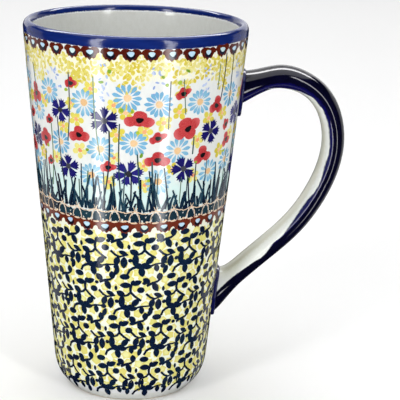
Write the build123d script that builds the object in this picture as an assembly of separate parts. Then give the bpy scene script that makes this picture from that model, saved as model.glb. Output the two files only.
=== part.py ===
"""Tall conical stoneware mug with a looped handle luted to its side.

The cup stands on its foot ring at z = 0 with its axis on +Z, and the handle reaches out along +X.
Four pieces: the cast cup, the handle, and the two pads of slip that join the handle to the cup.
All sizes are in millimetres, of the fired and glazed mug.
"""

from build123d import *
import math
import os

# Cup
HEIGHT = 155.0  # foot plane to the top of the lip
RIM_RADIUS = 46.0  # outside of the flank, carried straight up to the height of the lip
FOOT_RADIUS = 31.3  # outside of the flank, carried straight down to the foot plane
WALL = 4.0  # measured level, from the outside of the flank to the inside
LIP_HEIGHT = 3.6  # of the rounding on top of the wall
FLOOR_THICKNESS = 4.6
FLOOR_CORNER = 12.0  # radius where the inner wall turns into the floor
HEEL_HEIGHT = 12.0  # the flank starts to turn in towards the foot here
HEEL_INSET = 6.2  # from the flank at the heel in to the outer edge of the foot ring
FOOT_WIDTH = 3.2  # of the flat ring that the mug stands on
FOOT_RECESS = 1.8  # depth of the hollow under the floor
RECESS_CORNER = 1.2

# Handle
UPPER_JOINT_DROP = 27.5  # from the lip down to the middle of the handle's upper root
LOWER_JOINT_HEIGHT = 39.2  # from the foot plane up to the middle of its lower root
HANDLE_REACH = 42.3  # from the flank to the middle of the grip, at its furthest
GRIP_THICKNESS = 9.5  # across the loop, near the upper root
GRIP_TAPER = 0.9  # thinner by this at the lower root
GRIP_WIDTH = 15.6  # along Y
UPPER_ROOT_HEIGHT = 14.0  # up the flank, where the handle meets the joint
LOWER_ROOT_HEIGHT = 20.0
ROOT_WIDTH = 17.4
UPPER_FLARE = 10.0  # length over which each root narrows to the grip
LOWER_FLARE = 12.0
UPPER_SLOPE = 20.0  # degrees above level, where the handle leaves the upper joint
LOWER_SLOPE = 41.0  # degrees above level, where it leaves the lower joint
# The loop's middle line, as (share of the reach out from the flank, share of the way up between the roots)
LOOP = [
    (0.39, 1.055),
    (0.74, 0.993),
    (0.95, 0.85),
    (0.999, 0.665),
    (0.895, 0.487),
    (0.612, 0.283),
    (0.372, 0.172),
]
SECTIONS = 17  # ellipses that the skin of the loop passes through

# Slip joints
SLIP_THICKNESS = 1.4  # from the flank to the end of the handle
SLIP_OVERHANG = 0.9  # how far the pad shows round the handle's root
UPPER_SLIP_TAIL = 4.0  # how much further the upper pad runs down the flank than up it
SLIP_ROUND = 0.6  # radius of the pad's rim


def flank_radius(z, outwards=0.0):
    """Radius of the cup's straight flank at height z, or of a cone that stands off it."""
    return FOOT_RADIUS + (RIM_RADIUS - FOOT_RADIUS) * z / HEIGHT + outwards


def corner_at(face, x, y):
    """The corner of a face in the XY plane that lies nearest to (x, y)."""
    return min(face.vertices(), key=lambda v: math.hypot(v.X - x, v.Y - y))


def revolve_profile(profile):
    """The solid swept round +Z by a face drawn in the XY plane as (radius, height)."""
    return revolve(Plane.XZ * profile, Axis.Z)


def make_cup_body():
    """The cast cup: a conical wall with a round lip, a floor, and a foot ring under it."""
    heel = (flank_radius(HEEL_HEIGHT), HEEL_HEIGHT)
    foot_outer = (heel[0] - HEEL_INSET, 0)
    foot_inner = (foot_outer[0] - FOOT_WIDTH, 0)
    recess_edge = (foot_inner[0], FOOT_RECESS)
    floor_z = FOOT_RECESS + FLOOR_THICKNESS
    floor_edge = (flank_radius(floor_z) - WALL, floor_z)
    shoulder_z = HEIGHT - LIP_HEIGHT
    outer_shoulder = (flank_radius(shoulder_z), shoulder_z)
    inner_shoulder = (flank_radius(shoulder_z) - WALL, shoulder_z)
    crown = (flank_radius(shoulder_z) - WALL / 2, HEIGHT)
    up = Vector(RIM_RADIUS - FOOT_RADIUS, HEIGHT)
    outline = Curve() + [
        Line((0, FOOT_RECESS), recess_edge),
        Line(recess_edge, foot_inner),
        Line(foot_inner, foot_outer),
        TangentArc(heel, foot_outer, tangent=-up),
        Line(heel, outer_shoulder),
        Spline(outer_shoulder, crown, inner_shoulder, tangents=[up, (-1, 0), -up]),
        Line(inner_shoulder, floor_edge),
        Line(floor_edge, (0, floor_z)),
        Line((0, floor_z), (0, FOOT_RECESS)),
    ]
    profile = make_face(outline)
    profile = fillet(corner_at(profile, *floor_edge), FLOOR_CORNER)
    profile = fillet(corner_at(profile, *recess_edge), RECESS_CORNER)
    return revolve_profile(profile)


def flank_cone(outwards=0.0):
    """A solid cone whose side lies on the flank, or stands off it, taller than the cup both ways."""
    spare = HEIGHT / 10
    low, high = -spare, HEIGHT + spare
    corners = [(0, low), (flank_radius(low, outwards), low), (flank_radius(high, outwards), high), (0, high)]
    return revolve_profile(make_face(Polyline(*corners, close=True)))


def joint_heights():
    """Heights of the middles of the handle's upper and lower roots."""
    return HEIGHT - UPPER_JOINT_DROP, LOWER_JOINT_HEIGHT


def loop_line():
    """The handle's middle line, from the flank at the upper root to the flank at the lower one."""
    upper, lower = joint_heights()
    up, down = math.radians(UPPER_SLOPE), math.radians(LOWER_SLOPE)
    leave = Vector(math.cos(up), 0, math.sin(up))
    arrive = Vector(-math.cos(down), 0, -math.sin(down))
    start = Vector(flank_radius(upper), 0, upper)
    end = Vector(flank_radius(lower), 0, lower)
    points = []
    for out, height in LOOP:
        z = lower + height * (upper - lower)
        points.append(Vector(flank_radius(z, out * HANDLE_REACH), 0, z))
    return Spline(start, *points, end, tangents=[leave, arrive])


def spread(distance, root, grip, flare):
    """A size that goes from the root's value to the grip's over the length of the flare."""
    left = max(0.0, 1.0 - distance / flare)
    return grip + (root - grip) * left**1.5


def handle_section(point, along, from_upper, from_lower):
    """One ellipse across the handle. Near a root it leans, until it lies along the flank."""
    grip = GRIP_THICKNESS - GRIP_TAPER * from_upper / (from_upper + from_lower)
    thickness = max(
        spread(from_upper, UPPER_ROOT_HEIGHT, grip, UPPER_FLARE),
        spread(from_lower, LOWER_ROOT_HEIGHT, grip, LOWER_FLARE),
    )
    width = max(
        spread(from_upper, ROOT_WIDTH, GRIP_WIDTH, UPPER_FLARE),
        spread(from_lower, ROOT_WIDTH, GRIP_WIDTH, LOWER_FLARE),
    )
    outwards = Vector(HEIGHT, 0, FOOT_RADIUS - RIM_RADIUS).normalized()
    lean_upper = max(0.0, 1.0 - from_upper / UPPER_FLARE)
    lean_lower = max(0.0, 1.0 - from_lower / LOWER_FLARE)
    facing = along * (1 - lean_upper - lean_lower) + outwards * lean_upper - outwards * lean_lower
    across = Plane(origin=point, x_dir=(0, 1, 0), z_dir=facing)
    return across * Ellipse(width / 2, thickness / 2)


def make_handle():
    """The handle, with its ends cut to stand off the flank by the thickness of the slip."""
    loop = loop_line()
    length = loop.length
    # Sections crowd towards the ends, where the flares are
    shares = [0.5 - 0.5 * math.cos(math.pi * (0.08 + 0.84 * i / (SECTIONS - 1))) for i in range(SECTIONS)]
    low, high = shares[0], shares[-1]
    shares = [(s - low) / (high - low) for s in shares]
    sections = [handle_section(loop @ s, loop % s, s * length, (1 - s) * length) for s in shares]
    inwards = Vector(-HEIGHT, 0, RIM_RADIUS - FOOT_RADIUS).normalized() * (0.75 * WALL)
    ends = [sections[0].moved(Location(inwards)), sections[-1].moved(Location(inwards))]
    return loft([ends[0], *sections, ends[1]]) - flank_cone(SLIP_THICKNESS)


def make_slip_joint(root_middle, root_height, tail):
    """A pad of slip on the flank behind one of the handle's roots, proud of the root all round."""
    half_tall = root_height / 2 + SLIP_OVERHANG + tail / 2
    half_wide = ROOT_WIDTH / 2 + SLIP_OVERHANG
    centre = root_middle - tail / 2
    facing = Plane(origin=(0, 0, centre), x_dir=(0, 1, 0), z_dir=(1, 0, 0))
    blank = extrude(facing * Ellipse(half_wide, half_tall), RIM_RADIUS + WALL)
    pad = (blank & flank_cone(SLIP_THICKNESS)) - flank_cone()
    return fillet(pad.faces().sort_by(Axis.X)[-1].edges(), SLIP_ROUND)


def main():
    upper, lower = joint_heights()
    parts = {
        "cup_body": make_cup_body(),
        "handle": make_handle(),
        "upper_slip_joint": make_slip_joint(upper, UPPER_ROOT_HEIGHT, UPPER_SLIP_TAIL),
        "lower_slip_joint": make_slip_joint(lower, LOWER_ROOT_HEIGHT, 0.0),
    }
    os.makedirs("parts", exist_ok=True)
    for name, part in parts.items():
        export_step(part, f"parts/{name}.step")


main()
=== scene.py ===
"""A tall stoneware mug, dressed for rendering: clear-glazed pottery with a painted meadow and a vine print.

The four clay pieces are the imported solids. The paint is thin films of colour that Geometry Nodes
press onto the cup's flank, one mesh for each colour, under the same gloss as the bare glaze.
Sizes are written in millimetres and turned into metres where a mesh or a tree takes them.
"""

import math
import random

import bpy
from mathutils import Matrix, Vector


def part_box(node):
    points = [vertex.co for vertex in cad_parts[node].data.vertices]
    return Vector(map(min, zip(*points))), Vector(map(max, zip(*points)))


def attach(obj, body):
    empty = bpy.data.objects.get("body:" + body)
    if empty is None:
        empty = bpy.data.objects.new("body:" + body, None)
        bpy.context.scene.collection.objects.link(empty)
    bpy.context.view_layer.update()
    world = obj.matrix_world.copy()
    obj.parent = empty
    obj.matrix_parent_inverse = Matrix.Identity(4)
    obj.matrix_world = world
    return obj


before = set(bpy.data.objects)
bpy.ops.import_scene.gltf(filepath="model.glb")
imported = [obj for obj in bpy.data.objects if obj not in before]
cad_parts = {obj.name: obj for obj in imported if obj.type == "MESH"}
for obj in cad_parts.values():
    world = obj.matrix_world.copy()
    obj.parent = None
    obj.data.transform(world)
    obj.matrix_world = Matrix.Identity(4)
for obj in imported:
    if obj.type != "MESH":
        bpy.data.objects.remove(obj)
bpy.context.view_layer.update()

MM = 0.001
CUP_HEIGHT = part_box("cup_body")[1].z / MM

# The cup, as the solid has it
RIM_RADIUS = 46.0
FOOT_RADIUS = 31.3
WALL = 4.0
HEEL_HEIGHT = 12.0
HEEL_ARC = 18.1  # radius of the turn from the flank in to the foot
RECESS_RADIUS = 24.4  # the hollow inside the foot ring
RECESS_HEIGHT = 2.2
FLANK_SLOPE = (RIM_RADIUS - FOOT_RADIUS) / CUP_HEIGHT

# The handle, in the plane it stands in, as (distance from the cup's axis, height)
BEND_MIDDLE = (59.0, 108.0)
RUN_INWARD = (-0.77, 0.64)  # direction square to the straight run below the bend
RUN_HEIGHTS = (84.0, 102.0)  # where the bend gives way to the run
# where the cobalt ends on the side of the handle, as (height, distance from the cup's axis)
COBALT_EDGE = [
    (40.5, 35.0), (54.6, 51.6), (64.5, 61.6), (82.5, 74.0), (98.0, 80.0), (112.0, 80.2), (120.5, 76.8),
    (125.2, 72.2), (127.4, 66.5), (128.2, 60.4), (129.4, 40.0),
]
EDGE_LOW = 35.0  # the ramp that holds the edge starts here
EDGE_SPAN = 100.0  # and both its height and its distance run over this much

# Bands of the decoration from the top down, by height
INNER_RIM_BAND = 152.6  # lower edge of the cobalt inside the lip
RIM_BAND = 150.5  # lower edge of the cobalt outside the lip
UPPER_BORDER = 148.3
PETAL_WASH = (137.0, 149.0)
PETAL_TOP = 146.4  # highest line of curly petals
PETAL_LOW = 138.0  # lowest line of them, on average
GRASS_WASH = (84.0, 107.0)
GRASS_FOOT = 85.6
TWIG_ROW = 83.3
CREAM_TOP = 81.0  # the ground is white above this and cream below
LOWER_BORDER = 79.0
VINE_BAND = (6.4, 78.0)
VINE_ROW = 17.4  # lowest row of vine
VINE_STEP = 18.2  # from one row to the next

# How many stamps go round the cup, and where one of them stands, in degrees around
UPPER_LOBES, UPPER_START = 36, -95.6
BUNCHES, BUNCH_START = 13, -97.0
LOWER_LOBES, LOWER_START = 31, -98.0
VINE_COLUMNS, VINE_START = 12, -109.5

# The films of paint, by thickness
SINK = 0.02  # how deep a film is let into the flank, so that no gap shows under it
FIRST_FILM = 0.045
FILM_STEP = 0.010  # each later colour stands this much higher

GLAZE_IOR = 1.5
RIPPLE_DEPTH = 0.02


def flank_radius(height):
    """Outside radius of the cup at a height, on the flank and down the turn of the heel."""
    below = max(HEEL_HEIGHT - height, 0.0)
    return FOOT_RADIUS + FLANK_SLOPE * height - (HEEL_ARC - math.sqrt(HEEL_ARC**2 - below**2))


def pigment(red, green, blue):
    """A colour from the painter's chart, 0 to 255, as the linear colour that a shader takes."""
    shares = [part / 255 for part in (red, green, blue)]
    linear = [share / 12.92 if share <= 0.04 else ((share + 0.055) / 1.055) ** 2.4 for share in shares]
    return (*linear, 1.0)


# ---------------------------------------------------------------- node trees


class Value:
    """An output of a node. Arithmetic on it adds Math nodes to the same tree."""

    def __init__(self, graph, made, out):
        self.graph, self.made = graph, made
        self.socket = made.outputs[out] if made.outputs else None

    def out(self, name):
        return Value(self.graph, self.made, name)

    def math(self, operation, *terms):
        return self.graph.node("ShaderNodeMath", {"operation": operation}, dict(enumerate(terms)))

    def __add__(self, other):
        return self.math("ADD", self, other)

    def __radd__(self, other):
        return self.math("ADD", other, self)

    def __sub__(self, other):
        return self.math("SUBTRACT", self, other)

    def __rsub__(self, other):
        return self.math("SUBTRACT", other, self)

    def __mul__(self, other):
        return self.math("MULTIPLY", self, other)

    def __rmul__(self, other):
        return self.math("MULTIPLY", other, self)

    def __truediv__(self, other):
        return self.math("DIVIDE", self, other)

    def __rtruediv__(self, other):
        return self.math("DIVIDE", other, self)

    def __pow__(self, other):
        return self.math("POWER", self, other)


class Graph:
    """Writes one node tree."""

    def __init__(self, tree):
        self.tree = tree

    def node(self, kind, settings=None, sockets=None, out=0):
        """Adds a node with its settings first, then the values and links of its sockets."""
        made = self.tree.nodes.new(kind)
        for name, value in (settings or {}).items():
            if name == "stops":
                ramp = made.color_ramp
                while len(ramp.elements) < len(value):
                    ramp.elements.new(1.0)
                for element, (place, colour) in zip(ramp.elements, value):
                    element.position, element.color = place, colour
            else:
                setattr(made, name, value)
        for name, value in (sockets or {}).items():
            if isinstance(value, Value):
                self.tree.links.new(value.socket, made.inputs[name])
            else:
                made.inputs[name].default_value = value
        return Value(self, made, out)

    def blend(self, share, first, second):
        """A colour between two, by share."""
        return self.node("ShaderNodeMix", {"data_type": "RGBA"}, {0: share, 6: first, 7: second}, out=2)

    def rise(self, value, low, high):
        """0 below low, 1 above high, and smooth between them. It falls if low is the higher."""
        low_first = low < high
        given = {"Value": value, "From Min": min(low, high), "From Max": max(low, high)}
        given.update({"To Min": 0.0, "To Max": 1.0} if low_first else {"To Min": 1.0, "To Max": 0.0})
        return self.node("ShaderNodeMapRange", {"interpolation_type": "SMOOTHSTEP"}, given)

    def cloud(self, scale, detail=2.0, place=None):
        """Soft noise, near 0.5 on average, with this many spots a metre."""
        sockets = {"Scale": scale, "Detail": detail}
        if place is not None:
            sockets["Vector"] = place
        return self.node("ShaderNodeTexNoise", None, sockets)

    def attribute(self, name):
        return self.node("ShaderNodeAttribute", {"attribute_name": name}, out="Fac")


class Surface(Graph):
    """A material under way, with the places on the piece that its patterns are drawn from."""

    def __init__(self, name):
        self.material = bpy.data.materials.new(name)
        self.material.use_nodes = True
        self.material.node_tree.nodes.clear()
        super().__init__(self.material.node_tree)
        self.place = self.node("ShaderNodeTexCoord", out="Object")
        self.normal = self.place.out("Normal")

    def axes(self):
        """The three distances from the origin, in millimetres."""
        apart = self.node("ShaderNodeSeparateXYZ", None, {0: self.place})
        return [apart.out(axis) * (1 / MM) for axis in "XYZ"]

    def finish(self, colour, roughness, bump=None, strength=0.3):
        """Ends in a Principled shader, with the shared gloss of the clear glaze over it."""
        sockets = {"Base Color": colour, "Roughness": roughness, "IOR": GLAZE_IOR}
        if bump is not None:
            ripple = {"Strength": strength, "Distance": RIPPLE_DEPTH * MM, "Height": bump}
            sockets["Normal"] = self.node("ShaderNodeBump", None, ripple)
        shader = self.node("ShaderNodeBsdfPrincipled", None, sockets)
        self.node("ShaderNodeOutputMaterial", None, {"Surface": shader})
        return self.material

    def glaze_bump(self):
        """The slow ripple of poured glaze, with a finer orange peel in it."""
        return self.cloud(90.0, 1.0) + self.cloud(700.0, 1.0) * 0.12


def glaze_roughness(surface, base=0.09):
    return base + surface.cloud(160.0, 3.0) * 0.07


# ---------------------------------------------------------------- clay pieces


def cup_glaze():
    """White glaze outside and in, cobalt over the lip, washes of colour, and bare clay under the foot."""
    s = Surface("cup_glaze")
    x, y, z = s.axes()
    radius = (x * x + y * y) ** 0.5
    flank = FOOT_RADIUS + z * FLANK_SLOPE
    inside = s.rise(flank - radius, WALL / 2 - 0.1, WALL / 2 + 0.1)
    drift = s.cloud(60.0, 3.0)
    fine = s.cloud(420.0, 3.0)

    white = s.blend(drift, pigment(219, 222, 222), pigment(233, 234, 229))
    # a breath of yellow behind the curly petals, and of aqua behind the grass
    low, high = PETAL_WASH
    petals = s.rise(z, low, low + 3.5) * s.rise(z, high, high - 3.0) * s.rise(s.cloud(170.0, 2.0), 0.35, 0.6)
    outside = s.blend(petals * 0.75, white, pigment(250, 243, 190))
    low, high = GRASS_WASH
    damp = s.rise(z + (drift - 0.5) * 16.0, high, high - 15.0) * s.rise(z, low, low + 4.0)
    outside = s.blend(damp * 0.8, outside, pigment(205, 234, 230))
    # cream behind the vine, and a clean white foot
    cream = s.blend(s.rise(fine, 0.35, 0.65), pigment(241, 242, 216), pigment(234, 240, 230))
    outside = s.blend(s.rise(z, CREAM_TOP + 0.5, CREAM_TOP - 0.5), outside, cream)
    foot = s.rise(z + (fine - 0.5) * 1.2, VINE_BAND[0] + 0.2, VINE_BAND[0] - 0.2)
    outside = s.blend(foot, outside, pigment(222, 223, 224))

    inner = s.blend(drift, pigment(210, 211, 205), pigment(224, 226, 223))
    specks = s.rise(s.cloud(1500.0, 0.0), 0.73, 0.76)
    inner = s.blend(specks * 0.5, inner, pigment(176, 170, 154))
    colour = s.blend(inside, outside, inner)

    # cobalt lip, brushed round: its edges waver. The crest is painted paler, partly glaze thinning on the
    # edge and partly a painted highlight, and a white line just inside the lip is a painted highlight
    stretched = s.node("ShaderNodeMapping", None, {"Vector": s.place, "Scale": (1.0, 1.0, 6.0)})
    brushed = s.cloud(120.0, 4.0, place=stretched)
    edge = z + (s.cloud(260.0, 2.0) - 0.5) * 1.1
    lip = s.rise(edge, RIM_BAND - 0.15, RIM_BAND + 0.15) * (1.0 - inside)
    lip = lip + s.rise(edge, INNER_RIM_BAND, INNER_RIM_BAND + 0.3) * inside
    cobalt = s.blend(brushed, pigment(5, 18, 74), pigment(22, 46, 122))
    # painted highlight, partly glaze thinning: the top 1.1 mm of the lip turns paler blue
    crest_highlight = s.rise(z, CUP_HEIGHT - 1.1, CUP_HEIGHT)
    cobalt = s.blend(crest_highlight * 0.4, cobalt, pigment(44, 68, 138))
    colour = s.blend(lip, colour, cobalt)
    # painted highlight: a white line just inside the lip, under the cobalt band
    inner_line_highlight = inside * s.rise(edge, INNER_RIM_BAND - 0.5, INNER_RIM_BAND) * (1.0 - lip)
    colour = s.blend(inner_line_highlight * 0.8, colour, pigment(244, 246, 250))

    # bare speckled clay on the foot ring's flat and in the hollow inside it
    within = s.rise(radius, RECESS_RADIUS, RECESS_RADIUS - 1.0)
    bare = s.rise(z, 0.5, 0.25) + s.rise(z, RECESS_HEIGHT, RECESS_HEIGHT - 0.2) * within
    clay = s.blend(s.cloud(900.0, 4.0), pigment(176, 160, 132), pigment(206, 192, 166))
    clay = s.blend(s.rise(s.cloud(2600.0, 1.0), 0.68, 0.74), clay, pigment(120, 96, 70))
    colour = s.blend(bare, colour, clay)
    roughness = glaze_roughness(s) * (1.0 - bare) + bare * 0.82
    return s.finish(colour, roughness, s.glaze_bump() + bare * s.cloud(2200.0, 3.0) * 3.0)


def handle_glaze():
    """Dark cobalt brushed on the outside of the loop; the side that faces the cup is left white."""
    s = Surface("handle_glaze")
    x, y, z = s.axes()
    waver = s.cloud(60.0, 1.0) - 0.5

    # inwards is to the middle of the upper bend, and then square to the straight run below it
    bend_x, bend_z = BEND_MIDDLE[0] - x, BEND_MIDDLE[1] - z
    length = (bend_x * bend_x + bend_z * bend_z) ** 0.5
    run = s.rise(z, RUN_HEIGHTS[1], RUN_HEIGHTS[0])
    in_x = (bend_x / length) * (1.0 - run) + run * RUN_INWARD[0]
    in_z = (bend_z / length) * (1.0 - run) + run * RUN_INWARD[1]
    facing = s.node("ShaderNodeSeparateXYZ", None, {0: s.normal})
    inward = facing.out("X") * in_x + facing.out("Z") * in_z

    # a ramp by height says how far from the cup's axis the white ends
    stops = []
    for height, distance in COBALT_EDGE:
        share = distance / EDGE_SPAN
        stops.append(((height - EDGE_LOW) / EDGE_SPAN, (share, share, share, 1.0)))
    limit = s.node("ShaderNodeValToRGB", {"stops": stops}, {"Fac": (z - EDGE_LOW) / EDGE_SPAN})
    limit.made.color_ramp.interpolation = "CARDINAL"
    bare = s.rise(limit * EDGE_SPAN - x + waver * 0.6, -0.25, 0.25)
    # under the arch the white starts a little way out from the cup
    started = s.rise(x + waver * 8.0, 54.0, 57.0)
    low = s.rise(z, 112.0, 104.0)
    bare = bare * (started + low - started * low)

    stretched = s.node("ShaderNodeMapping", None, {"Vector": s.place, "Scale": (1.0, 4.0, 1.0)})
    navy = s.blend(s.cloud(110.0, 4.0, place=stretched), pigment(3, 3, 14), pigment(10, 10, 40))
    # bluer navy on the sides that face in: partly thinner cobalt near the white, partly a painted blue
    # highlight
    navy = s.blend(s.rise(inward + waver * 0.4, 0.3, 0.6) * 0.6, navy, pigment(14, 12, 92))
    white = s.blend(s.cloud(80.0, 2.0), pigment(222, 225, 220), pigment(240, 242, 240))
    # painted shade: a darker beige down the middle of the inner face, with white towards its cobalt edges
    middle = s.rise(y.math("ABSOLUTE", y) + waver * 3.0, 5.4, 3.0)
    white = s.blend(middle * 0.8, white, pigment(208, 208, 192))
    colour = s.blend(bare, navy, white)
    return s.finish(colour, glaze_roughness(s, 0.04), s.glaze_bump(), strength=0.35)


def joint_glaze():
    """Cobalt run round the handle's roots, in random streaks from dark to bluer, with darker pools."""
    s = Surface("joint_glaze")
    streaks = s.cloud(300.0, 3.0)
    navy = s.blend(streaks, pigment(6, 6, 34), pigment(26, 28, 100))
    pools = s.rise(s.cloud(140.0, 1.0), 0.55, 0.7)
    colour = s.blend(pools * 0.5, navy, pigment(12, 12, 40))
    return s.finish(colour, glaze_roughness(s, 0.08), s.glaze_bump(), strength=0.35)


# ---------------------------------------------------------------- paints


def paint(name, shade, body, light, uneven=0.5, tip=None, tip_from=0.5):
    """A ceramic paint that runs from shade to light, by the load of the brush and the touch of the sponge.

    tone is the loading of the whole stamp and reach is how far a place is from the stamp's middle.
    """
    s = Surface(name)
    wash = s.cloud(220.0, 3.0) * uneven + s.attribute("tone") * (1.0 - uneven)
    ramp = {"stops": [(0.22, shade), (0.5, body), (0.8, light)]}
    colour = s.node("ShaderNodeValToRGB", ramp, {"Fac": wash})
    if tip is not None:
        out = s.rise(s.attribute("reach") + (s.cloud(500.0, 1.0) - 0.5) * 0.3, tip_from, 1.0)
        colour = s.blend(out, colour, tip)
    return s.finish(colour, glaze_roughness(s), s.glaze_bump())


# ---------------------------------------------------------------- stamps

# A stamp is a flat drawing, up in Y, made of blobs. A blob is an outline that all shows from its middle.


def leaf_outline(length, width, points=10, fullest=0.5, blunt=0.9):
    """An almond from (0, 0) to (length, 0), widest at the share fullest of its length."""
    skew = math.log(0.5) / math.log(fullest)
    half = points // 2
    side = []
    for i in range(half + 1):
        side.append((length * i / half, width / 2 * math.sin(math.pi * (i / half) ** skew) ** blunt))
    return side + [(x, -y) for x, y in side[-2:0:-1]]


def oval_outline(middle, width, height, points=12, ripple=0.0, waves=3):
    """An oval round its middle, its edge rippled by a share of its size."""
    ring = []
    for i in range(points):
        angle = 2 * math.pi * i / points
        swell = 1 + ripple * math.sin(waves * angle + 0.7)
        x = middle[0] + width / 2 * swell * math.cos(angle)
        y = middle[1] + height / 2 * swell * math.sin(angle)
        ring.append((x, y))
    return ring


def star_outline(tip, notch):
    """A star of five points, by the distances of its tips and its notches from the middle."""
    corners = []
    for i in range(10):
        distance = (tip, notch)[i % 2]
        angle = math.radians(36 * i + 90)
        corners.append((distance * math.cos(angle), distance * math.sin(angle)))
    return corners


def stroke_outline(line, width, taper):
    """A brush stroke along a line, as the outlines of its separate lengths."""
    pieces = []
    lengths = len(line) - 1
    lap = 0.25 * width
    for i in range(lengths):
        (x0, y0), (x1, y1) = line[i], line[i + 1]
        span = math.hypot(x1 - x0, y1 - y0)
        u, v = (x1 - x0) / span, (y1 - y0) / span
        w0 = width / 2 * (1 - taper * i / lengths)
        w1 = width / 2 * (1 - taper * (i + 1) / lengths)
        ax, ay = x0 - u * lap, y0 - v * lap
        bx, by = x1 + u * lap, y1 + v * lap
        left = [(ax - v * w0, ay + u * w0), (ax + v * w0, ay - u * w0)]
        right = [(bx + v * w1, by - u * w1), (bx - v * w1, by + u * w1)]
        pieces.append(left + right)
    return pieces


def placed(outline, at=(0.0, 0.0), turn=0.0):
    """An outline turned by degrees, then moved."""
    c, s = math.cos(math.radians(turn)), math.sin(math.radians(turn))
    return [(at[0] + x * c - y * s, at[1] + x * s + y * c) for x, y in outline]


def anticlockwise(outline):
    area = sum(x0 * y1 - x1 * y0 for (x0, y0), (x1, y1) in zip(outline, outline[1:] + outline[:1]))
    return outline if area > 0 else outline[::-1]


def make_stamp(name, blobs, rings=1):
    """A mesh of closed thin blobs, each with its foot at Z 0 and its face at Z 1 or a little over.

    The vertex attribute reach runs from 0 at the stamp's middle to 1 at its furthest point.
    """
    corners, faces = [], []
    for layer, outline in enumerate(blobs):
        outline = anticlockwise(outline)
        n = len(outline)
        cx = sum(p[0] for p in outline) / n
        cy = sum(p[1] for p in outline) / n
        # blobs that overlap differ a little in thickness, so that their faces never coincide
        top = 1.0 + 0.01 * (layer % 5)
        for level in (0.0, top):
            base = len(corners)
            corners.append((cx, cy, level))
            for r in range(1, rings + 1):
                k = r / rings
                corners += [(cx + (x - cx) * k, cy + (y - cy) * k, level) for x, y in outline]
            for i in range(n):
                j = (i + 1) % n
                cell = [(base, base + 1 + i, base + 1 + j)]
                for r in range(1, rings):
                    a, b = base + 1 + (r - 1) * n, base + 1 + r * n
                    cell.append((a + i, b + i, b + j, a + j))
                faces += cell if level else [c[::-1] for c in cell]
        high = base + 1 + (rings - 1) * n
        low = high - (1 + rings * n)
        faces += [(low + i, low + (i + 1) % n, high + (i + 1) % n, high + i) for i in range(n)]
    mesh = bpy.data.meshes.new(name)
    mesh.from_pydata([(x * MM, y * MM, z) for x, y, z in corners], [], faces)
    reach = mesh.attributes.new("reach", "FLOAT", "POINT")
    furthest = max(math.hypot(x, y) for x, y, _ in corners)
    for i, (x, y, _) in enumerate(corners):
        reach.data[i].value = math.hypot(x, y) / furthest
    return bpy.data.objects.new(name, mesh)


def rosette(outline, petals, inner, uneven, seed, start=90.0):
    """Petals set round a middle, each of them drawn from (inner, 0) outwards."""
    dice = random.Random(seed)
    blobs = []
    for i in range(petals):
        stretch = 1 + uneven * dice.uniform(-1, 1)
        petal = [((inner + x) * stretch, y * (1 + uneven * dice.uniform(-1, 1) * 0.5)) for x, y in outline]
        blobs.append(placed(petal, turn=start + 360 * i / petals + uneven * 40 * dice.uniform(-1, 1)))
    return blobs


# ---------------------------------------------------------------- printing on the flank


def printing_tree():
    """Sets a stamp on every point of a layout, and wraps the lot round the cup's flank and heel.

    A layout point lies at (0, height). Its attributes are around (the angle, in radians), turn,
    stretch (width and height of the stamp), kind (which of the stamps) and tone.
    """
    tree = bpy.data.node_groups.new("print_on_flank", "GeometryNodeTree")
    tree.interface.new_socket("Layout", in_out="INPUT", socket_type="NodeSocketGeometry")
    tree.interface.new_socket("Stamps", in_out="INPUT", socket_type="NodeSocketCollection")
    for name in ("Foot radius", "Slope", "Heel height", "Heel arc", "Sink", "Film"):
        tree.interface.new_socket(name, in_out="INPUT", socket_type="NodeSocketFloat")
    tree.interface.new_socket("Paint", in_out="INPUT", socket_type="NodeSocketMaterial")
    tree.interface.new_socket("Print", in_out="OUTPUT", socket_type="NodeSocketGeometry")
    g = Graph(tree)
    given = g.node("NodeGroupInput")

    def named(name, kind="FLOAT"):
        return g.node("GeometryNodeInputNamedAttribute", {"data_type": kind}, {"Name": name})

    drawer = {"Collection": given.out("Stamps"), "Separate Children": True, "Reset Children": True}
    placing = {
        "Points": given.out("Layout"),
        "Instance": g.node("GeometryNodeCollectionInfo", None, drawer),
        "Pick Instance": True,
        "Instance Index": named("kind", "INT"),
        "Rotation": g.node("ShaderNodeCombineXYZ", None, {"Z": named("turn")}),
        "Scale": named("stretch", "FLOAT_VECTOR"),
    }
    pressed = g.node("GeometryNodeInstanceOnPoints", None, placing)
    flat = g.node("GeometryNodeRealizeInstances", None, {"Geometry": pressed})

    where = g.node("ShaderNodeSeparateXYZ", None, {0: g.node("GeometryNodeInputPosition")})
    height = where.out("Y")
    below = given.out("Heel height") - height
    below = below.math("MAXIMUM", below, 0.0)
    arc = given.out("Heel arc")
    turned_in = arc - (arc * arc - below * below) ** 0.5
    flank = given.out("Foot radius") + given.out("Slope") * height - turned_in
    radius = flank - given.out("Sink") + where.out("Z") * given.out("Film")
    angle = named("around") + where.out("X") / flank
    x, y = radius * angle.math("COSINE", angle), radius * angle.math("SINE", angle)
    wrapped = g.node("ShaderNodeCombineXYZ", None, {"X": x, "Y": y, "Z": height})
    moved = g.node("GeometryNodeSetPosition", None, {"Geometry": flat, "Position": wrapped})
    painted = g.node("GeometryNodeSetMaterial", None, {"Geometry": moved, "Material": given.out("Paint")})
    g.node("NodeGroupOutput", None, {0: painted})
    return tree


PRINTING = printing_tree()


def flank_normal(corner):
    """The way the glazed surface faces at a place on the flank or heel."""
    below = max(HEEL_HEIGHT - corner.z / MM, 0.0)
    tilt = math.atan(FLANK_SLOPE) + math.asin(min(below / HEEL_ARC, 1.0))
    out = Vector((corner.x, corner.y, 0.0)).normalized()
    return out * math.cos(tilt) - Vector((0.0, 0.0, math.sin(tilt)))


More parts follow.
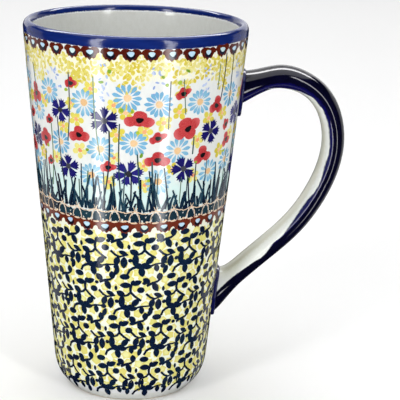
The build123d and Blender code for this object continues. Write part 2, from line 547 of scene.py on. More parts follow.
def press(name, stamps, layout, colour, layer):
    """Prints stamps on the flank as one piece, from rows of a layout.

    A row is (degrees around, height, wide, tall, turn, kind, tone). layer is the order of printing:
    a later colour lies over an earlier one.
    """
    tray = bpy.data.collections.new(name + "_stamps")
    for i, stamp in enumerate(stamps):
        stamp.name = f"{name}_stamp_{i:02d}"
        tray.objects.link(stamp)
    mesh = bpy.data.meshes.new(name)
    mesh.from_pydata([(0.0, row[1] * MM, 0.0) for row in layout], [], [])
    columns = {
        "around": [math.radians(row[0]) for row in layout],
        "turn": [math.radians(row[4]) for row in layout],
        "tone": [row[6] for row in layout],
    }
    for key, values in columns.items():
        mesh.attributes.new(key, "FLOAT", "POINT").data.foreach_set("value", values)
    mesh.attributes.new("kind", "INT", "POINT").data.foreach_set("value", [row[5] for row in layout])
    stretch = mesh.attributes.new("stretch", "FLOAT_VECTOR", "POINT")
    stretch.data.foreach_set("vector", [v for row in layout for v in (row[2], row[3], 1.0)])
    points = bpy.data.objects.new(name + "_layout", mesh)
    bpy.context.scene.collection.objects.link(points)
    modifier = points.modifiers.new("print", "NODES")
    modifier.node_group = PRINTING
    given = {
        "Stamps": tray,
        "Foot radius": FOOT_RADIUS * MM,
        "Slope": FLANK_SLOPE,
        "Heel height": HEEL_HEIGHT * MM,
        "Heel arc": HEEL_ARC * MM,
        "Sink": SINK * MM,
        "Film": (FIRST_FILM + FILM_STEP * layer) * MM,
        "Paint": colour,
    }
    for socket in PRINTING.interface.items_tree:
        if socket.in_out == "INPUT" and socket.name in given:
            modifier[socket.identifier] = given[socket.name]
    graph = bpy.context.evaluated_depsgraph_get()
    printed = bpy.data.meshes.new_from_object(points.evaluated_get(graph), depsgraph=graph)
    printed.name = name
    for key in ("around", "turn", "kind", "stretch"):
        if key in printed.attributes:
            printed.attributes.remove(printed.attributes[key])
    printed.shade_smooth()
    printed.normals_split_custom_set_from_vertices([flank_normal(v.co) for v in printed.vertices])
    piece = bpy.data.objects.new(name, printed)
    bpy.context.scene.collection.objects.link(piece)
    bpy.data.objects.remove(points)
    for stamp in stamps:
        bpy.data.objects.remove(stamp)
    bpy.data.collections.remove(tray)
    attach(piece, "root")


# ---------------------------------------------------------------- what is painted, and where

# (degrees around, height, size) of each flower; the handle is at 0 and the side shown first is at -90
DAISIES = [
    (-143, 131, 11.0), (-120, 128.5, 11.6), (-97, 131.5, 12.0), (-81, 129, 11.5), (-58, 129, 11.3),
    (-34, 130, 10.8), (-155, 122, 10.0), (-136.5, 111, 10.4), (-111.5, 110.5, 11.6), (-93.5, 113.5, 11.2),
    (-69.5, 110, 11.6), (-117, 99.5, 10.6), (-79.5, 97.8, 11.2), (-47, 99.6, 10.4), (-31, 102.5, 10.0),
    (-13, 109, 10.4), (-172, 131, 11.2), (-164, 99.5, 10.6), (-176, 112, 11.0), (18, 131, 11.4),
    (27, 110, 11.0), (43, 125, 11.6), (57, 98.5, 10.4), (66, 130, 11.8), (82, 112, 11.2), (96, 129, 11.6),
    (105, 99, 10.6), (120, 114, 11.4), (134, 131, 11.2), (150, 100.5, 10.4), (157, 127, 11.6),
    (168, 110, 10.8), (8, 101, 10.2),
]
CORNFLOWERS = [
    (-135.5, 124, 9.4), (-109, 122, 10.2), (-132, 101.5, 9.6), (-96, 101, 10.2), (-65, 102.3, 10.0),
    (-48.5, 116.3, 9.6), (-24, 121, 9.4), (-160, 110.5, 9.4), (-15, 98.5, 9.4), (16, 119, 9.6),
    (36, 101, 9.8), (54, 113, 9.6), (74, 121, 10.0), (91, 101, 9.8), (111, 125, 9.8), (139, 109, 10.0),
    (165, 121, 9.6), (-179, 100.5, 9.8),
]
# width, height, turn and which of the drawings: 0 wide, 1 four lobes, 2 three lobes, 3 half open
POPPIES = [
    (-127.5, 135.6, 5.8, 4.8, 0, 3), (-157, 128, 8.0, 8.6, 10, 2), (-145, 119, 4.6, 4.4, 0, 3),
    (-150, 111, 7.8, 7.6, 0, 1), (-124, 115.4, 9.2, 6.8, 4, 0), (-91, 123, 11.6, 7.0, -3, 0),
    (-68.5, 133, 7.0, 4.8, 18, 3), (-64.5, 118.6, 12.4, 9.4, 24, 1), (-81, 115.6, 7.4, 4.6, 15, 3),
    (-46, 126.6, 7.6, 7.2, -8, 2), (-35, 117.6, 4.6, 5.0, 30, 3), (-32.5, 111, 6.4, 6.0, 15, 2),
    (-53, 107, 9.0, 7.2, 8, 2), (-80.8, 106.8, 10.2, 6.4, -2, 0), (-107.5, 103.4, 6.6, 5.0, 0, 3),
    (-146.5, 102, 4.4, 4.4, 0, 3), (-12, 129.4, 7.0, 7.4, 0, 2), (-166, 119, 6.2, 5.0, 10, 3),
    (-170, 105.6, 9.0, 6.6, 0, 0), (24, 124.6, 9.4, 6.8, 4, 0), (38, 116.6, 11.6, 8.8, -14, 1),
    (56, 121.6, 6.6, 4.8, 12, 3), (69, 106, 9.4, 6.6, -4, 0), (86, 121.4, 7.6, 7.2, 6, 2),
    (99, 112.6, 11.0, 7.2, 3, 0), (119, 104.6, 6.2, 5.0, -8, 3), (127, 122.4, 11.2, 8.6, 20, 1),
    (146, 118, 8.0, 7.2, 0, 2), (161, 103.4, 8.6, 6.2, 6, 0), (176, 120.6, 11.0, 8.4, -12, 1),
    (13, 110, 6.4, 5.2, 0, 3),
]
BUTTERCUPS = [
    (-98, 125.6, 7.0), (-104, 128.4, 6.8), (-123.5, 109, 7.0), (-102.5, 116.6, 7.2), (-88, 118.2, 7.4),
    (-78, 121.6, 7.2), (-70, 125.6, 6.8), (-57.5, 113.6, 7.0), (-39, 107.4, 6.6), (-51, 121.8, 6.8),
    (-125, 121.4, 7.0), (-107, 97.4, 6.6), (-87, 96.6, 6.6), (-58.5, 99, 6.6), (-116, 134.2, 6.8),
    (-134, 117.6, 6.6), (-128, 127.6, 6.0), (-148, 126.2, 6.4), (-40, 122.8, 6.4), (-28, 113, 6.2),
    (-88, 104.4, 5.8), (-104, 107.4, 5.8), (-72, 102.6, 5.6), (-141, 104.2, 5.8), (-165, 126.4, 6.6),
    (-178, 124.6, 6.8), (-20, 128.6, 6.6), (-18, 113.6, 6.4), (-154, 104.4, 6.4), (30, 130.2, 6.8),
    (48, 106.4, 6.6), (62, 115.2, 7.0), (72, 97.8, 6.4), (80, 128.8, 6.8), (92, 119, 6.6),
    (112, 108.4, 6.8), (104, 132.2, 6.6), (119, 130.4, 6.8), (133, 102.6, 6.4), (143, 126.2, 6.8),
    (152, 110.6, 6.6), (168, 131.6, 6.8), (178, 105.6, 6.4), (34, 109.6, 6.2), (22, 103.4, 6.4),
    (2, 109.6, 6.4),
]
# (degrees around, top, foot, lean in degrees, bow -1 to 1, breadth)
STEMS = [
    (-128.5, 139.5, 112, 8, 0.4, 1.0), (-114.5, 139, 108, -7, -0.5, 1.0), (-75.5, 138, 119, 0, 0, 0.9),
    (-68.5, 138.5, 124.5, -14, 0.2, 0.8), (-106.5, 118, 92, 9, 0.7, 1.3), (-101, 121, 88, -3, -0.3, 1.1),
    (-143.5, 117.5, 92, 8, 0.3, 1.0), (-138, 121, 103, -4, 0, 1.0), (-125, 97, 86, 0, 0, 1.1),
    (-91.5, 109, 88, -9, -0.2, 1.3), (-80, 101, 88, 0, 0, 0.9), (-83.5, 106, 88, -6, 0, 1.4),
    (-62, 99, 87, 0, 0, 0.9), (-66, 99, 88, 1, 0, 0.8), (-57, 104, 93, 0, 0, 1.1),
    (-49, 105, 92, 2, 0, 0.8), (-42, 147, 128, 5, 0.5, 1.0), (-35, 146, 125, -4, 0, 1.0),
    (-60, 115, 108, 0, 0, 1.2), (-119, 101, 88, 12, 0.2, 1.2), (-104, 101, 88, 2, 0, 1.2),
    (-110, 101, 88, -3, 0, 1.2), (-98, 103, 88, 5, 0, 1.0), (-46, 143, 133, 3, 0, 0.8),
    (-151, 106, 90, 6, 0.2, 1.0), (-158, 140, 122, -3, 0.3, 0.9), (-170, 102, 88, 3, 0, 1.1),
    (-176, 139, 118, 4, 0.4, 1.0), (17, 114, 90, 4, 0.4, 1.1), (30, 139, 115, -5, -0.4, 1.0),
    (38, 112, 90, 3, 0.2, 1.1), (45, 102, 88, -6, 0, 1.0), (55, 108, 90, 5, 0.5, 1.2),
    (60, 139, 120, -6, 0, 0.9), (70, 102, 88, 0, 0, 1.1), (76, 116, 92, -4, -0.3, 1.1),
    (84, 138, 118, 5, 0.3, 1.0), (97, 108, 90, 4, 0.2, 1.2), (108, 120, 95, -5, -0.4, 1.1),
    (118, 102, 88, 4, 0, 1.0), (126, 138, 112, 6, 0.4, 1.0), (140, 104, 90, -3, 0, 1.1),
    (147, 140, 122, -5, 0.2, 0.9), (155, 118, 92, 6, 0.5, 1.1), (166, 116, 90, -4, -0.2, 1.1),
    (176, 138, 114, 5, 0.3, 1.0), (-21, 117, 90, 5, 0.4, 1.1), (-30, 106, 88, 2, 0, 1.0),
    (-12, 104, 88, -4, 0, 1.0), (6, 104, 88, 3, 0, 1.0),
]
# Green touches where yellow was dabbed over blue
GREEN_TOUCHES = [
    (-100, 126.6), (-94.6, 126.2), (-130.5, 132.6), (-119, 109.6), (-91.6, 117.8), (-89.4, 108.6),
    (-70.6, 137.4), (-79.6, 139.8), (-77.4, 136.6), (-61.4, 97.6), (-57.4, 104.4), (-84.8, 98.4),
    (-110.4, 137.2), (-106, 141.6), (-66.6, 141.8), (-34, 106.4), (20, 126.4), (44, 118.6), (66, 123),
    (83, 106.2), (101, 123.8), (121, 108.6), (141, 124.2), (160, 120), (-170, 124.6), (-148, 108),
    (-18, 106),
]


def meadow(rows, drawn_size, dice, lean, kinds):
    """Layout rows for flowers given as (around, height, size), each turned and loaded in its own way."""
    layout = []
    for around, height, size in rows:
        wide = size / drawn_size
        turn = dice.uniform(-lean, lean)
        layout.append((around, height, wide, wide * 0.97, turn, dice.randrange(kinds), dice.random()))
    return layout


def ring_of(count, height, dice, start, jitter, turn, wide=1.0, kinds=1):
    """Layout rows evenly round the cup, with the small misses of a hand-held stamp."""
    layout = []
    for i in range(count):
        around = start + 360 * i / count + dice.uniform(-jitter, jitter) * 360 / count
        missed = height + dice.uniform(-0.25, 0.25)
        across = wide * dice.uniform(0.96, 1.04)
        tall = dice.uniform(0.95, 1.05)
        leaning = dice.uniform(-turn, turn)
        layout.append((around, missed, across, tall, leaning, dice.randrange(kinds), dice.random()))
    return layout


def middles(layout):
    """The same layout for a part of the flower that has a single stamp."""
    return [(a, h, w, t, turn, 0, 1.0 - tone) for a, h, w, t, turn, _, tone in layout]


def paint_petal_band():
    """Curly yellow petals in bunches under the upper border, with pale blue dots between the bunches."""
    dice = random.Random(5)
    bend = [math.radians(angle) for angle in (200, 240, 285, 330, 375)]
    curl = [(1.9 * math.cos(angle), 1.6 * math.sin(angle)) for angle in bend]
    short = leaf_outline(2.4, 1.5, fullest=0.6, blunt=0.6)
    long = leaf_outline(2.5, 1.5, fullest=0.6, blunt=0.6)
    stamps = [
        make_stamp("blossom", rosette(short, 6, inner=0.9, uneven=0.16, seed=1)),
        make_stamp("half_blossom", rosette(long, 7, inner=0.8, uneven=0.2, seed=2)[:4]),
        make_stamp("curl", stroke_outline(curl, 1.35, 0.25)),
        make_stamp("pair", [leaf_outline(3.0, 1.5), placed(leaf_outline(2.4, 1.4), (0.4, 1.5), 50)]),
    ]
    picks = (0, 1, 2, 2, 3, 3)  # the curl and the pair are used twice as often
    lines, in_a_line, line_step, bunch_drop = 8, 80, 1.75, 3.6
    layout = []
    for line in range(lines):
        height = PETAL_TOP - line_step * line
        for i in range(in_a_line):
            around = 360 / in_a_line * (i + 0.5 * (line % 2)) + dice.uniform(-1.1, 1.1)
            lowest = PETAL_LOW - bunch_drop * math.cos(math.radians((around - BUNCH_START) * BUNCHES))
            if height > lowest + dice.uniform(-0.8, 0.8):
                size = dice.uniform(0.66, 0.96)
                missed = height + dice.uniform(-0.6, 0.6)
                turn = dice.uniform(0, 360)
                layout.append((around, missed, size, size, turn, dice.choice(picks), dice.random()))
    shades = pigment(204, 184, 48), pigment(218, 206, 100), pigment(230, 225, 166)
    press("curly_petals", stamps, layout, paint("petal_yellow", *shades, uneven=0.5), 0)

    layout = []
    for bunch in range(BUNCHES):
        gap = BUNCH_START + 360 / BUNCHES * (bunch + 0.5)
        for _ in range(15):
            around = gap + dice.gauss(0, 1.8)
            height = 144 - 14.0 * dice.random() ** 0.8
            wide = dice.uniform(1.0, 1.55)
            tall = dice.uniform(0.6, 1.0)
            layout.append((around, height, wide, tall, dice.uniform(0, 180), 0, dice.random()))
    mist = paint("mist_blue", pigment(132, 156, 208), pigment(164, 184, 222), pigment(198, 208, 234))
    press("pale_dots", [make_stamp("dot", [oval_outline((0, 0), 1.3, 1.1, 8)])], layout, mist, 1)


def paint_borders():
    """Two brown borders of toothed lobes, a pale drop with a dark foot in each lobe."""
    dice = random.Random(11)
    lobe = [
        (4.1, 0.9), (3.7, 1.7), (2.7, 2.3), (-2.7, 2.3), (-3.6, 1.7), (-4.1, 1.0), (-4.0, 0.2), (-3.3, 0.0),
        (-2.9, -1.1), (-2.5, -1.4), (-1.9, -2.2), (-1.3, -1.9), (-0.2, -2.9), (0.6, -1.9), (1.5, -2.2),
        (2.3, -1.7), (2.6, -0.9), (3.3, 0.0), (4.0, 0.2),
    ]
    low_lobe = [
        (4.1, 1.9), (3.1, 2.5), (1.9, 2.0), (0.7, 2.6), (-0.8, 2.1), (-2.0, 2.6), (-3.2, 2.0), (-4.1, 2.3),
        (-4.1, 0.0), (-3.3, -0.5), (-2.8, -1.7), (-1.9, -1.7), (-1.1, -2.6), (-0.3, -2.2), (0.7, -2.8),
        (1.6, -1.9), (2.5, -2.1), (3.2, -0.6), (4.1, -0.1),
    ]
    drop = [
        (1.5, 0.5), (0.8, 0.9), (-0.7, 0.9), (-1.5, 0.5), (-1.2, -0.2), (-0.5, -0.8), (0.1, -1.0),
        (0.8, -0.7), (1.3, -0.1),
    ]
    foot = [(1.8, 0.4), (-1.8, 0.4), (-1.6, -0.7), (-0.7, -1.4), (0.2, -1.7), (1.0, -1.3), (1.7, -0.6)]

    uppers = ring_of(UPPER_LOBES, UPPER_BORDER, dice, UPPER_START, jitter=0.03, turn=2.0, wide=0.96)
    lowers = ring_of(LOWER_LOBES, LOWER_BORDER, dice, LOWER_START, jitter=0.02, turn=2.0, wide=0.98)
    shades = pigment(48, 10, 10), pigment(84, 24, 14), pigment(108, 48, 24)
    brown = paint("border_brown", *shades, uneven=0.75)
    press("upper_border", [make_stamp("lobe", [lobe], rings=3)], uppers, brown, 2)
    shades = pigment(80, 26, 14), pigment(108, 42, 26), pigment(130, 72, 54)
    clay_brown = paint("border_clay", *shades, uneven=0.75)
    press("lower_border", [make_stamp("low_lobe", [low_lobe], rings=3)], lowers, clay_brown, 4)

    both = uppers + [(around, height - 0.3, *rest) for around, height, *rest in lowers]
    feet = [(around, height - 0.2, *rest) for around, height, *rest in both]
    dark = paint("drop_shade", pigment(10, 8, 20), pigment(20, 22, 42), pigment(44, 52, 70))
    press("drop_feet", [make_stamp("foot", [foot])], feet, dark, 5)
    drops = []
    for around, height, wide, tall, _, _, tone in both:
        wide *= dice.uniform(0.85, 1.1)
        tall *= dice.uniform(0.85, 1.1)
        drops.append((around, height + 0.25, wide, tall, dice.uniform(-8, 8), 0, tone))
    shades = pigment(164, 196, 230), pigment(190, 218, 232), pigment(216, 232, 216)
    press("pale_drops", [make_stamp("drop", [drop])], drops, paint("drop_pale", *shades, uneven=0.6), 6)


def paint_buttercups(dice):
    """Small yellow flowers of five petals, with peach middles."""
    petal = oval_outline((1.25, 0), 2.5, 2.3, 9)
    stamps = []
    for i in range(3):
        petals = rosette(petal, 5, start=90 + 12 * i, inner=0.75, uneven=0.14, seed=i)
        stamps.append(make_stamp(f"five_{i}", petals))
    layout = meadow(BUTTERCUPS, 6.9, dice, lean=40, kinds=3)
    shades = pigment(206, 186, 44), pigment(222, 210, 92), pigment(234, 228, 150)
    press("buttercup_petals", stamps, layout, paint("buttercup_yellow", *shades, uneven=0.6), 1)
    middle = make_stamp("middle", [oval_outline((0, 0), 1.9, 1.7, 10, 0.08)])
    shades = pigment(226, 132, 84), pigment(236, 172, 120), pigment(246, 210, 168)
    press("buttercup_middles", [middle], middles(layout), paint("buttercup_peach", *shades, uneven=0.6), 2)


def paint_daisies(dice):
    """Blue daisies of twelve to fourteen petals, darker at the tips, with tan hearts."""
    petal = leaf_outline(4.1, 1.6, 10, fullest=0.66, blunt=0.7)
    stamps = []
    for n in (12, 13, 14):
        stamps.append(make_stamp(f"daisy_{n}", rosette(petal, n, inner=1.75, uneven=0.07, seed=n)))
    layout = meadow(DAISIES, 11.7, dice, lean=15, kinds=3)
    shades = pigment(100, 160, 200), pigment(138, 190, 216), pigment(188, 216, 226)
    sky = paint("daisy_blue", *shades, uneven=0.65, tip=pigment(110, 170, 206), tip_from=0.45)
    press("daisy_petals", stamps, layout, sky, 3)
    heart = make_stamp("heart", [oval_outline((0, 0), 3.0, 3.0, 12, 0.05)], rings=2)
    shades = pigment(206, 156, 96), pigment(230, 190, 138), pigment(242, 216, 180)
    press("daisy_hearts", [heart], middles(layout), paint("daisy_heart", *shades, uneven=0.75), 5)


def paint_cornflowers(dice):
    """Cobalt cornflowers of five or six fringed petals, with slate eyes."""
    fringed = [
        (0.0, 0.5), (0.0, -0.5), (1.5, -1.3), (2.7, -1.9), (2.6, -1.2), (3.7, -1.4), (3.1, -0.6), (4.2, -0.3),
        (3.3, 0.1), (4.1, 0.8), (2.9, 0.7), (3.1, 1.7), (2.1, 1.2),
    ]
    stamps = []
    for n in (5, 6):
        # narrower petals where there are more of them
        petal = [(x, y * 5.7 / n) for x, y in fringed]
        petals = rosette(petal, n, start=90 + 10 * n, inner=1.0, uneven=0.12, seed=20 + n)
        stamps.append(make_stamp(f"cornflower_{n}", petals, rings=2))
    layout = meadow(CORNFLOWERS, 8.8, dice, lean=30, kinds=2)
    shades = pigment(14, 12, 74), pigment(30, 26, 104), pigment(56, 54, 146)
    cobalt = paint("cornflower_cobalt", *shades, uneven=0.75)
    press("cornflower_petals", stamps, layout, cobalt, 6)
    slate = paint("cornflower_slate", pigment(38, 40, 44), pigment(56, 58, 62), pigment(84, 84, 96))
    eye = make_stamp("eye", [oval_outline((0, 0), 2.3, 2.2, 12, 0.1, 4)])
    press("cornflower_eyes", [eye], middles(layout), slate, 7)


def paint_poppies(dice):
    """Red poppies from four drawings, paler at the edge, with near-black eyes."""
    # the lobes of each drawing, as (x, y, wide, tall, ripple)
    open_wide = [
        (0.1, -0.3, 7.6, 4.8, 0), (-3.3, -0.9, 5.2, 4.0, 0.05), (3.4, -0.8, 5.4, 4.2, 0.05),
        (0.3, 1.5, 5.4, 4.2, 0.04),
    ]
    four_lobes = [
        (0, 0.2, 7.6, 6.2, 0), (-3.6, -0.2, 5.2, 5.0, 0.04), (3.4, 0.5, 5.4, 4.6, 0.05),
        (-0.1, 2.4, 6.0, 4.8, 0.04), (0.4, -2.5, 5.2, 4.2, 0.05),
    ]
    three_lobes = [
        (0, -0.2, 6.0, 4.8, 0), (-2.3, -1.6, 4.8, 4.2, 0.05), (2.5, -1.3, 4.8, 4.4, 0.05),
        (0.2, 2.2, 4.6, 4.8, 0.05),
    ]
    half_open = [
        (0, 0, 5.0, 4.4, 0), (-2.3, -0.5, 3.4, 3.4, 0.07), (2.6, 0.2, 3.8, 2.6, 0.07),
        (0.2, 1.5, 3.0, 2.6, 0),
    ]
    # the size each is drawn at, which a poppy's own size is measured against
    drawings = [
        ((11.6, 7.0), open_wide), ((12.2, 9.4), four_lobes), ((9.6, 8.4), three_lobes),
        ((8.4, 5.4), half_open),
    ]
    stamps = []
    for i, (_, lobes) in enumerate(drawings):
        blobs = [oval_outline((x, y), across, tall, ripple=ripple) for x, y, across, tall, ripple in lobes]
        stamps.append(make_stamp(f"poppy_{i}", blobs, rings=2))
    layout = []
    for around, height, across, tall, turn, kind in POPPIES:
        drawn = drawings[kind][0]
        layout.append((around, height, across / drawn[0], tall / drawn[1], turn, kind, dice.random()))
    shades = pigment(136, 22, 34), pigment(184, 50, 54), pigment(206, 96, 96)
    red = paint("poppy_red", *shades, uneven=0.8, tip=pigment(208, 100, 102), tip_from=0.55)
    press("poppy_petals", stamps, layout, red, 8)

    layout = []
    for around, height, across, _, turn, _ in POPPIES:
        size = 0.55 + across * 0.045, 0.6 + across * 0.035
        layout.append((around, height, *size, turn + dice.uniform(-15, 15), 0, dice.random()))
    black = paint("poppy_black", pigment(20, 16, 20), pigment(34, 30, 34), pigment(44, 60, 58))
    eye = make_stamp("eye_wide", [oval_outline((0.2, -0.2), 2.9, 2.2, 10, 0.12)])
    press("poppy_eyes", [eye], layout, black, 9)


def paint_stems(dice):
    """Thin stems in three bows, drawn 20 mm long and stretched to their place."""
    drawn = 20.0
    stamps = []
    for bow in (-1.0, 0.0, 1.0):
        line = [(bow * 1.3 * math.sin(math.pi * i / 8) / 2, -drawn * i / 8) for i in range(9)]
        stamps.append(make_stamp(f"stem_{int(bow)}", stroke_outline(line, 0.42, 0.0)))
    layout = []
    for around, top, low, lean, bow, breadth in STEMS:
        kind = 1 + (bow > 0.25) - (bow < -0.25)
        layout.append((around, top, breadth, (top - low) / drawn, -lean * 0.5, kind, dice.random()))
    green = paint("stem_green", pigment(26, 44, 66), pigment(48, 82, 84), pigment(96, 130, 96), uneven=0.4)
    press("stems", stamps, layout, green, 10)


def paint_green_touches(dice):
    """Small dabs of leaf green."""
    layout = []
    for around, height in GREEN_TOUCHES:
        wide = dice.uniform(0.7, 1.2)
        tall = dice.uniform(0.8, 1.3)
        layout.append((around, height, wide, tall, dice.uniform(0, 180), 0, dice.random()))
    green = paint("touch_green", pigment(92, 140, 36), pigment(138, 170, 48), pigment(186, 200, 70))
    press("green_touches", [make_stamp("touch", [oval_outline((0, 0), 1.9, 1.4, 8, 0.1)])], layout, green, 9)


def paint_grass(dice):
    """Grass in strokes of dark teal: a row of blades, some tall thin ones, and short tufts at the foot."""
    blades, tall_blades, tufts = 170, 40, 104
    bows = (-0.9, -0.3, 0.4, 1.0)
    stamps = []
    for i, bow in enumerate(bows):
        line = [(bow * (j / 5) ** 2, 10.0 * j / 5) for j in range(6)]
        stamps.append(make_stamp(f"blade_{i}", stroke_outline(line, 1.1, 0.35)))
    layout = []
    for i in range(blades):
        around = 360 * i / blades + dice.uniform(-0.8, 0.8)
        tall = dice.choice((0.55, 0.7, 0.8, 0.9, 1.05, 1.3))
        foot = GRASS_FOOT + dice.uniform(-0.4, 1.2)
        wide = dice.uniform(0.75, 1.15)
        layout.append((around, foot, wide, tall, dice.gauss(0, 15), dice.randrange(len(bows)), dice.random()))
    for _ in range(tall_blades):
        around = dice.uniform(-180, 180)
        tall = dice.uniform(1.3, 1.75)
        turn = dice.gauss(0, 6)
        layout.append((around, GRASS_FOOT + 0.4, 0.6, tall, turn, dice.randrange(len(bows)), dice.random()))
    for i in range(tufts):
        around = 360 * i / tufts + dice.uniform(-1.0, 1.0)
        wide = dice.uniform(0.9, 1.2)
        tall = dice.uniform(0.3, 0.5)
        turn = dice.gauss(0, 26)
        layout.append((around, GRASS_FOOT - 0.2, wide, tall, turn, dice.randrange(len(bows)), dice.random()))
    teal = paint("grass_teal", pigment(8, 20, 44), pigment(16, 38, 58), pigment(48, 82, 98), uneven=0.55)
    press("grass", stamps, layout, teal, 11)


def paint_twigs(dice):
    """A row of dark clods and leaves under the grass, with a thin peach root line over them.

    One unit stands over each notch of the border below: a clod under the root's arch, and leaves to the
    next arch.
    """
    clod = [
        (-1.5, -2.0), (-1.3, 0.1), (-0.5, 1.5), (0.5, 1.5), (1.3, 0.2), (1.7, -1.3), (1.2, -2.5), (0.3, -1.9),
        (-0.5, -2.7),
    ]
    fan = [
        clod,
        placed(leaf_outline(4.6, 2.1, blunt=0.7), (1.2, 1.7), -46),
        placed(leaf_outline(4.6, 2.2, blunt=0.7), (6.7, 1.5), -122),
        oval_outline((3.8, 1.0), 3.2, 1.6, 9, 0.06),
        placed(leaf_outline(2.4, 1.2), (2.3, -0.3), -98),
        placed(leaf_outline(2.0, 1.1), (3.4, -1.2), -60),
    ]
    layout = ring_of(LOWER_LOBES, TWIG_ROW, dice, LOWER_START + 180 / LOWER_LOBES, jitter=0.04, turn=4)
    navy = paint("twig_navy", pigment(10, 22, 40), pigment(18, 40, 54), pigment(38, 68, 80), uneven=0.5)
    press("twigs", [make_stamp("fan", fan)], layout, navy, 5)

    wave = [(-4.0, 1.5), (-2.6, 1.7), (-1.2, 2.3), (0.2, 2.5), (1.6, 2.0), (2.8, 1.5), (4.0, 1.5)]
    roots = stroke_outline(wave, 0.36, 0.0)
    legs_and_sprouts = [
        [(0.1, 2.4), (-1.5, 0.9), (-2.0, -0.8), (-2.1, -2.4)],
        [(0.2, 2.4), (1.6, 0.8), (2.0, -0.8), (2.1, -2.6)],
        [(0.1, 2.4), (-0.5, 4.2)],
        [(0.2, 2.4), (1.0, 4.0)],
    ]
    for line in legs_and_sprouts:
        roots += stroke_outline(line, 0.3, 0.2)
    for x, y, wide, tall in ((-0.2, -2.6, 2.8, 0.7), (3.2, -2.5, 1.8, 0.7), (-3.4, -1.9, 1.2, 0.9)):
        roots.append(oval_outline((x, y), wide, tall, 8, 0.1))
    shades = pigment(212, 160, 110), pigment(232, 202, 168), pigment(244, 240, 230)
    press("peach_roots", [make_stamp("root", roots)], layout, paint("peach_line", *shades, uneven=0.8), 12)


def paint_stars(dice):
    """Yellow sponge-printed stars on the cream, in offset rows down to the foot."""
    stamps = [
        make_stamp("star", [star_outline(2.4, 1.6)]),
        make_stamp("blunt_star", [star_outline(2.2, 1.8)]),
    ]
    spacing, row_step = 4.35, 3.7
    layout = []
    height, odd = VINE_BAND[0] + 1.6, 0
    while height < VINE_BAND[1] - 1.5:
        count = int(2 * math.pi * flank_radius(height) / spacing)
        for i in range(count):
            around = 360 * (i + 0.5 * odd) / count + dice.uniform(-1.1, 1.1)
            size = dice.uniform(0.74, 1.02)
            missed = height + dice.uniform(-0.5, 0.5)
            turn = dice.uniform(0, 72)
            layout.append((around, missed, size, size, turn, dice.randrange(len(stamps)), dice.random()))
        height, odd = height + row_step, 1 - odd
    shades = pigment(220, 208, 106), pigment(228, 225, 140), pigment(238, 237, 186)
    yellow = paint("star_yellow", *shades, uneven=0.6, tip=pigment(223, 211, 110), tip_from=0.3)
    press("yellow_stars", stamps, layout, yellow, 0)


def vine_blobs():
    """One unit of the vine, drawn from the node where its two long leaves part."""
    stems = [
        ([(0.0, 0.0), (-0.3, -1.6), (-0.1, -3.2), (1.6, -4.9), (4.0, -6.6)], 1.1),
        ([(-0.2, -3.2), (-1.3, -4.4), (-2.6, -4.9)], 1.0),
        ([(-3.0, -10.2), (-4.6, -10.7), (-5.9, -11.6), (-6.6, -13.2)], 1.15),
        ([(-12.9, 0.3), (-10.8, 1.3), (-8.8, 1.8), (-7.4, 2.9)], 1.1),
        ([(-13.1, -3.4), (-11.4, -5.0), (-9.7, -5.8), (-6.6, -4.9)], 0.95),
        ([(2.6, -9.9), (4.2, -9.3), (6.4, -9.2), (8.6, -9.0)], 0.8),
    ]
    # x, y, turn, length and breadth of each leaf
    leaves = [
        (0.2, -0.1, 182, 4.6, 2.2), (0.0, 0.1, 22, 4.2, 2.0), (0.1, -0.2, 70, 2.4, 1.5),
        (-2.3, -4.9, 152, 3.8, 2.2), (-3.5, -4.4, -92, 5.4, 2.3), (3.5, -6.0, -134, 4.2, 2.2),
        (0.9, -8.5, -133, 3.6, 2.2), (-1.3, -10.4, 3, 4.0, 1.9), (-1.6, -10.2, -80, 4.2, 2.3),
        (-3.4, -8.6, -50, 3.0, 2.3), (-7.6, 2.2, 100, 3.2, 2.3), (-11.8, 1.1, 140, 3.6, 2.2),
        (-10.7, 1.6, -62, 4.4, 2.2), (-6.6, -4.9, 157, 3.6, 1.6), (-10.2, -5.6, -106, 3.9, 2.2),
        (-8.0, -5.7, -91, 4.8, 2.4), (4.4, -9.2, -84, 3.3, 1.9), (8.9, -10.0, -112, 3.8, 1.7),
        (-6.2, -0.4, -88, 2.2, 1.1),
    ]
    # x, y, breadth and height of each berry
    berries = [
        (3.9, -2.1, 3.2, 2.7), (-2.8, 3.5, 4.2, 2.6), (-11.0, -10.2, 2.3, 2.0), (5.2, 0.9, 1.8, 1.5),
        (-5.6, -7.4, 1.9, 1.7),
    ]
    blobs = [piece for line, width in stems for piece in stroke_outline(line, width * 1.05, 0.2)]
    for x, y, turn, length, breadth in leaves:
        blobs.append(placed(leaf_outline(length * 1.08, breadth * 1.18, 12, blunt=0.7), (x, y), turn))
    return blobs + [oval_outline((x, y), breadth, tall, 10) for x, y, breadth, tall in berries]


def paint_vines(dice):
    """The navy vine over the stars, one printed unit in leaning columns."""
    drawn_radius, lean = 36.6, 8.0
    layout = []
    for row in range(4):
        height = VINE_ROW + VINE_STEP * row
        wide = flank_radius(height) / drawn_radius
        for column in range(VINE_COLUMNS):
            around = VINE_START + lean * row + 360 / VINE_COLUMNS * column + dice.uniform(-0.6, 0.6)
            missed = height + dice.uniform(-0.4, 0.4)
            layout.append((around, missed, wide, 1.0, dice.uniform(-3, 3), 0, dice.random()))
    navy = paint("vine_navy", pigment(4, 8, 40), pigment(9, 24, 52), pigment(24, 52, 72), uneven=0.85)
    press("vine_print", [make_stamp("vine", vine_blobs())], layout, navy, 3)


def glaze_clay():
    """Gives each clay piece the glaze that its slot names."""
    for material in (cup_glaze(), handle_glaze(), joint_glaze()):
        wanted = material.name.split(".")[0]
        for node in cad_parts.values():
            for place in node.material_slots:
                if place.material and place.material.name.split(".")[0] == wanted:
                    place.material = material


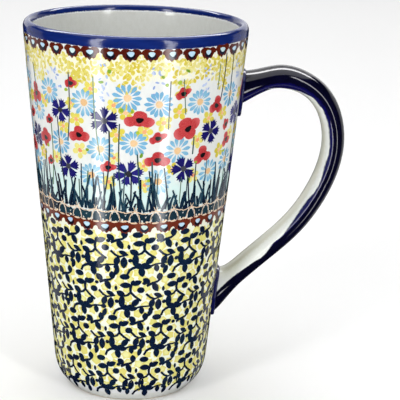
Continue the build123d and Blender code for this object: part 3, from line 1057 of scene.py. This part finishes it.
def decorate():
    """Paints the cup in the order it was stamped. Each hand draws its small misses from its own dice."""
    paint_petal_band()
    hand = random.Random(2)
    paint_stars(hand)
    paint_vines(hand)
    paint_borders()
    hand = random.Random(3)
    paint_buttercups(hand)
    paint_daisies(hand)
    paint_cornflowers(hand)
    paint_poppies(hand)
    hand = random.Random(8)
    paint_stems(hand)
    paint_green_touches(hand)
    paint_grass(hand)
    paint_twigs(hand)


# ---------------------------------------------------------------- studio


def add_camera():
    """A long lens, a little above the lip, with the handle square to the right."""
    pan, pitch, roll = math.radians(6.12), math.radians(15.71), math.radians(1.8)
    ahead = Vector((math.sin(pan) * math.cos(pitch), math.cos(pan) * math.cos(pitch), -math.sin(pitch)))
    right = Vector((math.cos(pan), -math.sin(pan), 0.0))
    up = right.cross(ahead)
    side, top = right * math.cos(roll) + up * math.sin(roll), up * math.cos(roll) - right * math.sin(roll)
    data = bpy.data.cameras.new("camera")
    data.lens, data.sensor_width = 125.8, 36.0
    data.clip_start, data.clip_end = 0.01, 50.0
    camera = bpy.data.objects.new("camera", data)
    camera.matrix_world = Matrix((side, top, -ahead)).transposed().to_4x4()
    camera.location = Vector((-32.3, -564.0, 238.7)) * MM
    bpy.context.scene.collection.objects.link(camera)
    bpy.context.scene.camera = camera


def add_softbox(name, around, away, height, size, power):
    """A rectangular soft light, in metres and watts. A long one stands square, and others tip to the mug."""
    data = bpy.data.lights.new(name, "AREA")
    data.shape, data.size, data.size_y, data.energy = "RECTANGLE", size[0], size[1], power
    light = bpy.data.objects.new(name, data)
    light.visible_camera = False
    angle = math.radians(around)
    light.location = (away * math.cos(angle), away * math.sin(angle), height)
    mug_middle = Vector((0.0, 0.0, 0.08))
    aim = mug_middle - light.location
    long_one = abs(size[1] - size[0]) > 0.5
    if long_one:
        aim.z = 0.0
    light.rotation_euler = aim.to_track_quat("-Z", "Y").to_euler()
    bpy.context.scene.collection.objects.link(light)
    return light


def add_floor():
    """Pale paper that stays out of the reflections."""
    half = 3.0
    corners = [(-half, -half, 0), (half, -half, 0), (half, half, 0), (-half, half, 0)]
    floor_mesh = bpy.data.meshes.new("floor")
    floor_mesh.from_pydata(corners, [], [(0, 1, 2, 3)])
    floor = bpy.data.objects.new("floor", floor_mesh)
    s = Surface("floor_paper")
    s.finish(s.blend(s.cloud(6.0), pigment(252, 252, 252), pigment(255, 255, 255)), 0.85)
    floor_mesh.materials.append(s.material)
    floor.visible_glossy = False
    bpy.context.scene.collection.objects.link(floor)


def add_lights():
    """Two window strips and a top panel light the mug. The rest fill it, or show only in its gloss."""
    add_softbox("left_strip", -133.0, 0.95, 0.33, (0.17, 1.5), 6.8)
    add_softbox("right_strip", -59.0, 0.95, 0.33, (0.15, 1.5), 5.6)
    add_softbox("top_panel", 90.0, 0.5, 1.9, (3.2, 3.2), 45.0)
    fill = add_softbox("front_fill", -95.0, 1.3, 0.6, (1.2, 1.2), 1.2)
    fill.visible_glossy = False
    only_in_gloss = [
        add_softbox("back_panel", 90.0, 2.2, 0.7, (3.0, 1.2), 12.0),
        add_softbox("right_edge", 38.0, 1.2, -0.2, (0.8, 1.4), 1.8),
        add_softbox("left_edge", 142.0, 1.2, -0.2, (0.8, 1.4), 1.8),
        add_softbox("rim_strip", 90.0, 0.8, 1.25, (2.4, 0.5), 40.0),
    ]
    for light in only_in_gloss:
        light.visible_diffuse = False


def add_world():
    """An even white surround that isn't mirrored in the glaze."""
    world = bpy.data.worlds.new("studio")
    bpy.context.scene.world = world
    world.use_nodes = True
    world.cycles_visibility.glossy = False
    world.node_tree.nodes.clear()
    w = Graph(world.node_tree)
    surround = w.node("ShaderNodeBackground", None, {"Color": (1.0, 1.0, 1.0, 1.0), "Strength": 0.24})
    w.node("ShaderNodeOutputWorld", None, {"Surface": surround})
    bpy.context.scene.view_settings.view_transform = "Standard"


glaze_clay()
decorate()
add_camera()
add_floor()
add_lights()
add_world()
